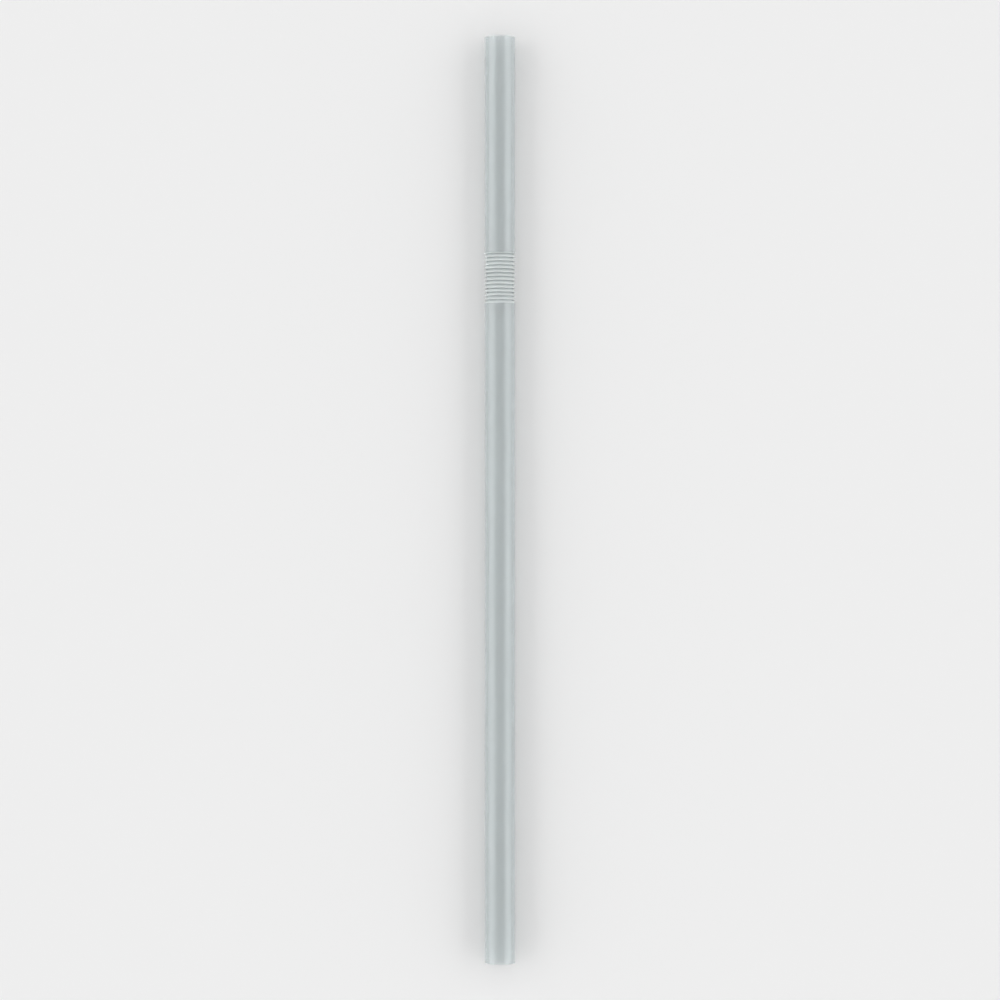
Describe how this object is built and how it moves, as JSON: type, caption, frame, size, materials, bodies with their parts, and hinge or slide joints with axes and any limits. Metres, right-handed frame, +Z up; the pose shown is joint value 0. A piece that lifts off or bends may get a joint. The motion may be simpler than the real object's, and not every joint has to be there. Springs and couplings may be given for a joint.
{
  "type": "flexible drinking straw",
  "caption": "Thin tube of clear plastic, lying on its side, with square-cut ends and a bending section of closed-up folds near its drinking end.",
  "frame": {"origin": "centre of the line on which the straw lies, midway between its two cut ends", "axes": "+Y along the straw, towards the drinking end; +Z up; the straw's axis is 4 mm above the origin"},
  "size_m": [0.008, 0.24, 0.008],
  "materials": {
    "clear_plastic": "natural polypropylene, translucent and uncoloured, with the gloss of a drawn tube and fine lengthwise lines"
  },
  "bodies": {
    "root": {"straw": "clear_plastic"}
  },
  "joints": []
}
